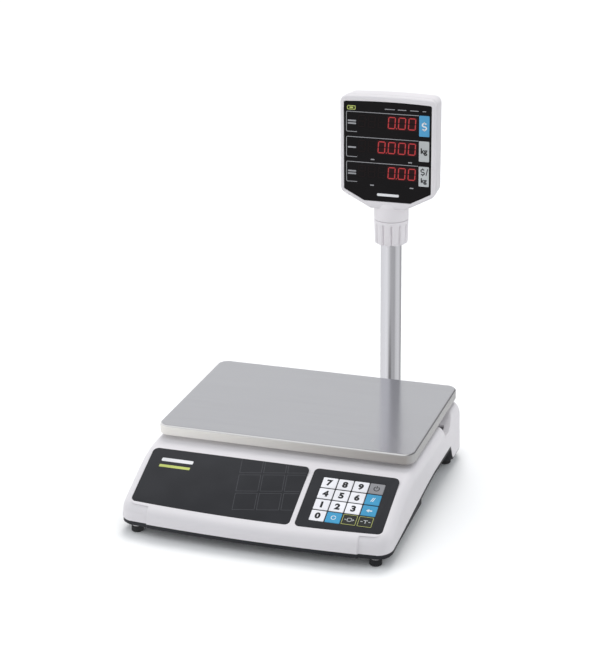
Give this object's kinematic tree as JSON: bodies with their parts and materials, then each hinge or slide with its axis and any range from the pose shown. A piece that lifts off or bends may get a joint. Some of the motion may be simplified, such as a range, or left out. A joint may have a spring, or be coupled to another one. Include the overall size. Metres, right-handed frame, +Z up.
{
  "type": "retail price scale",
  "caption": "Retail price scale: wedge base with membrane keypad, lift-off steel platter on a load-cell platform, and a swivelling two-sided display head on a pole.",
  "frame": {"origin": "on the standing surface, under the middle of the scale's bounding box", "axes": "+X to the right as the shopkeeper faces the keypad, +Y to the rear where the pole stands, +Z up"},
  "size_m": [0.3208, 0.39, 0.431],
  "materials": {
    "housing_white": "satin moulded white",
    "tray_black": "fine moulded texture",
    "platter_steel": "brushed stainless",
    "overlay_dark": "satin printed film",
    "key_white": "satin printed film",
    "key_grey": "satin printed film",
    "key_blue": "satin printed film",
    "key_dark": "satin printed film",
    "window_dark": "polished tinted acrylic",
    "circuit_board": "solder mask",
    "led_block": "smooth",
    "pole_chrome": "satin chrome",
    "rubber_black": "matte",
    "fastener_steel": "zinc plated",
    "alloy": "machined or cast",
    "battery_case": "moulded",
    "cable_black": "smooth sheath",
    "inlet_black": "moulded",
    "level_glass": "clear with tinted liquid"
  },
  "bodies": {
    "base": {"upper_housing": "housing_white", "lower_housing": "tray_black", "display_overlay": "overlay_dark", "keypad_overlay": "overlay_dark", "keypad_board": "circuit_board", "main_board": "circuit_board", "battery": "battery_case", "power_inlet": "inlet_black", "load_cell": "alloy", "load_cell_base": "alloy", "load_cell_bolt_fixed_1": "fastener_steel", "load_cell_bolt_fixed_2": "fastener_steel", "bubble_level": "level_glass", "pole": "pole_chrome", "pole_bracket": "housing_white", "signal_cable": "cable_black"},
    "platform": {"platter_support": "alloy", "support_pad_front_left": "rubber_black", "support_pad_front_right": "rubber_black", "support_pad_rear_left": "rubber_black", "support_pad_rear_right": "rubber_black", "load_cell_bolt_free_1": "fastener_steel", "load_cell_bolt_free_2": "fastener_steel"},
    "platter": {"platter": "platter_steel"},
    "display_head": {"head_neck": "housing_white", "head_front_shell": "housing_white", "head_rear_shell": "housing_white", "front_window": "window_dark", "rear_window": "window_dark", "display_board": "circuit_board", "front_led_block": "led_block", "rear_led_block": "led_block"},
    "clamp_collar": {"head_collar": "housing_white"},
    "battery_cover": {"battery_door": "tray_black"},
    "key_7_button": {"key_7": "key_white"},
    "key_8_button": {"key_8": "key_white"},
    "key_9_button": {"key_9": "key_white"},
    "key_power_button": {"key_power": "key_grey"},
    "key_4_button": {"key_4": "key_white"},
    "key_5_button": {"key_5": "key_white"},
    "key_6_button": {"key_6": "key_white"},
    "key_double_zero_button": {"key_double_zero": "key_blue"},
    "key_1_button": {"key_1": "key_white"},
    "key_2_button": {"key_2": "key_white"},
    "key_3_button": {"key_3": "key_white"},
    "key_clear_button": {"key_clear": "key_blue"},
    "key_0_button": {"key_0": "key_white"},
    "key_tare_button": {"key_tare": "key_blue"},
    "key_zero_set_button": {"key_zero_set": "key_dark"},
    "key_print_button": {"key_print": "key_dark"},
    "foot_screw_front_left": {"foot_stud_front_left": "fastener_steel"},
    "foot_front_left": {"foot_pad_front_left": "rubber_black"},
    "foot_screw_front_right": {"foot_stud_front_right": "fastener_steel"},
    "foot_front_right": {"foot_pad_front_right": "rubber_black"},
    "foot_screw_rear_left": {"foot_stud_rear_left": "fastener_steel"},
    "foot_rear_left": {"foot_pad_rear_left": "rubber_black"},
    "foot_screw_rear_right": {"foot_stud_rear_right": "fastener_steel"},
    "foot_rear_right": {"foot_pad_rear_right": "rubber_black"}
  },
  "joints": [
    {"name": "platform_deflection", "type": "slide", "parent": "base", "child": "platform", "axis": [0, 0, -1], "range_m": [0, 0.0003]},
    {"name": "platter_lift", "type": "slide", "parent": "platform", "child": "platter", "axis": [0, 0, 1], "range_m": [0, 0.06]},
    {"name": "head_swivel", "type": "hinge", "parent": "base", "child": "display_head", "pos_m": [0.057, 0.1742, 0.2784], "axis": [0, 0, 1], "range_deg": [-165, 165]},
    {"name": "collar_turn", "type": "hinge", "parent": "base", "child": "clamp_collar", "pos_m": [0.057, 0.1742, 0.2515], "axis": [0, 0, 1], "range_deg": [0, 60]},
    {"name": "battery_cover_hinge", "type": "hinge", "parent": "base", "child": "battery_cover", "pos_m": [-0.082, 0.06605, 0.01], "axis": [1, 0, 0], "range_deg": [0, 90]},
    {"name": "key_7_press", "type": "slide", "parent": "base", "child": "key_7_button", "axis": [0, 0.3956, -0.9184], "range_m": [0, 0.0004]},
    {"name": "key_8_press", "type": "slide", "parent": "base", "child": "key_8_button", "axis": [0, 0.3956, -0.9184], "range_m": [0, 0.0004]},
    {"name": "key_9_press", "type": "slide", "parent": "base", "child": "key_9_button", "axis": [0, 0.3956, -0.9184], "range_m": [0, 0.0004]},
    {"name": "key_power_press", "type": "slide", "parent": "base", "child": "key_power_button", "axis": [0, 0.3956, -0.9184], "range_m": [0, 0.0004]},
    {"name": "key_4_press", "type": "slide", "parent": "base", "child": "key_4_button", "axis": [0, 0.3956, -0.9184], "range_m": [0, 0.0004]},
    {"name": "key_5_press", "type": "slide", "parent": "base", "child": "key_5_button", "axis": [0, 0.3956, -0.9184], "range_m": [0, 0.0004]},
    {"name": "key_6_press", "type": "slide", "parent": "base", "child": "key_6_button", "axis": [0, 0.3956, -0.9184], "range_m": [0, 0.0004]},
    {"name": "key_double_zero_press", "type": "slide", "parent": "base", "child": "key_double_zero_button", "axis": [0, 0.3956, -0.9184], "range_m": [0, 0.0004]},
    {"name": "key_1_press", "type": "slide", "parent": "base", "child": "key_1_button", "axis": [0, 0.3956, -0.9184], "range_m": [0, 0.0004]},
    {"name": "key_2_press", "type": "slide", "parent": "base", "child": "key_2_button", "axis": [0, 0.3956, -0.9184], "range_m": [0, 0.0004]},
    {"name": "key_3_press", "type": "slide", "parent": "base", "child": "key_3_button", "axis": [0, 0.3956, -0.9184], "range_m": [0, 0.0004]},
    {"name": "key_clear_press", "type": "slide", "parent": "base", "child": "key_clear_button", "axis": [0, 0.3956, -0.9184], "range_m": [0, 0.0004]},
    {"name": "key_0_press", "type": "slide", "parent": "base", "child": "key_0_button", "axis": [0, 0.3956, -0.9184], "range_m": [0, 0.0004]},
    {"name": "key_tare_press", "type": "slide", "parent": "base", "child": "key_tare_button", "axis": [0, 0.3956, -0.9184], "range_m": [0, 0.0004]},
    {"name": "key_zero_set_press", "type": "slide", "parent": "base", "child": "key_zero_set_button", "axis": [0, 0.3956, -0.9184], "range_m": [0, 0.0004]},
    {"name": "key_print_press", "type": "slide", "parent": "base", "child": "key_print_button", "axis": [0, 0.3956, -0.9184], "range_m": [0, 0.0004]},
    {"name": "foot_height_front_left", "type": "slide", "parent": "base", "child": "foot_screw_front_left", "axis": [0, 0, -1], "range_m": [0, 0.0025]},
    {"name": "foot_turn_front_left", "type": "hinge", "parent": "foot_screw_front_left", "child": "foot_front_left", "pos_m": [-0.1389, -0.1763, 0], "axis": [0, 0, -1], "range_deg": [0, 720]},
    {"name": "foot_height_front_right", "type": "slide", "parent": "base", "child": "foot_screw_front_right", "axis": [0, 0, -1], "range_m": [0, 0.0025]},
    {"name": "foot_turn_front_right", "type": "hinge", "parent": "foot_screw_front_right", "child": "foot_front_right", "pos_m": [0.1389, -0.1763, 0], "axis": [0, 0, -1], "range_deg": [0, 720]},
    {"name": "foot_height_rear_left", "type": "slide", "parent": "base", "child": "foot_screw_rear_left", "axis": [0, 0, -1], "range_m": [0, 0.0025]},
    {"name": "foot_turn_rear_left", "type": "hinge", "parent": "foot_screw_rear_left", "child": "foot_rear_left", "pos_m": [-0.147, 0.0982, 0], "axis": [0, 0, -1], "range_deg": [0, 720]},
    {"name": "foot_height_rear_right", "type": "slide", "parent": "base", "child": "foot_screw_rear_right", "axis": [0, 0, -1], "range_m": [0, 0.0025]},
    {"name": "foot_turn_rear_right", "type": "hinge", "parent": "foot_screw_rear_right", "child": "foot_rear_right", "pos_m": [0.147, 0.0982, 0], "axis": [0, 0, -1], "range_deg": [0, 720]}
  ],
  "couplings": [
    {"joint": "foot_turn_front_left", "follows": "foot_height_front_left", "rad_per_m": 5026.5},
    {"joint": "foot_turn_front_right", "follows": "foot_height_front_right", "rad_per_m": 5026.5},
    {"joint": "foot_turn_rear_left", "follows": "foot_height_rear_left", "rad_per_m": 5026.5},
    {"joint": "foot_turn_rear_right", "follows": "foot_height_rear_right", "rad_per_m": 5026.5}
  ]
}
